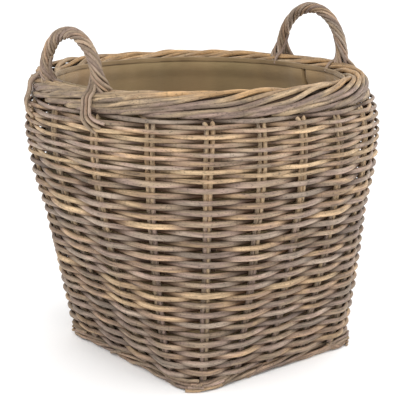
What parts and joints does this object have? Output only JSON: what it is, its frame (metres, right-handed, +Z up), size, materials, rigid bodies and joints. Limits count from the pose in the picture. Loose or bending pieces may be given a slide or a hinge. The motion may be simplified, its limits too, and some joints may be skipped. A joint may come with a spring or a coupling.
{
  "type": "wicker log basket",
  "caption": "Square-footed round-shouldered wicker log basket with rolled rim, two upright rope-twisted handles and a sewn cloth lining.",
  "frame": {"origin": "on the ground, below the middle of the basket's bounding box", "axes": "+Z up; the handles stand on the +X and -X sides, their loops along Y"},
  "size_m": [0.5344, 0.5345, 0.5468],
  "materials": {
    "grey_cane": "weathered grey-brown rattan cane",
    "buff_cane": "weathered buff rattan cane",
    "stake_cane": "pale grey-buff rattan cane",
    "handle_cane": "weathered mauve-brown rattan cane",
    "base_cane": "weathered brown rattan cane",
    "lining_cloth": "plain khaki cotton canvas"
  },
  "bodies": {
    "root": {"foot_hoop": "base_cane", "foot_cane_1": "base_cane", "foot_cane_2": "base_cane", "foot_cane_3": "base_cane", "base_sticks": "base_cane", "base_weave": "base_cane", "stake_pair_01": "stake_cane", "stake_pair_02": "stake_cane", "stake_pair_03": "stake_cane", "stake_pair_04": "stake_cane", "stake_pair_05": "stake_cane", "stake_pair_06": "stake_cane", "stake_pair_07": "stake_cane", "stake_pair_08": "stake_cane", "stake_pair_09": "stake_cane", "stake_pair_10": "stake_cane", "stake_pair_11": "stake_cane", "stake_pair_12": "stake_cane", "stake_pair_13": "stake_cane", "stake_pair_14": "stake_cane", "stake_pair_15": "stake_cane", "stake_pair_16": "stake_cane", "stake_pair_17": "stake_cane", "stake_pair_18": "stake_cane", "stake_pair_19": "stake_cane", "stake_pair_20": "stake_cane", "lower_weave": "grey_cane", "upper_weave": "buff_cane", "waling_band": "grey_cane", "rim_hoop": "grey_cane", "handle_left_core": "handle_cane", "handle_left_canes": "handle_cane", "handle_left_tails": "handle_cane", "handle_right_core": "handle_cane", "handle_right_canes": "handle_cane", "handle_right_tails": "handle_cane", "lining_base": "lining_cloth", "lining_back": "lining_cloth", "lining_front": "lining_cloth", "lining_hem": "lining_cloth"}
  },
  "joints": []
}
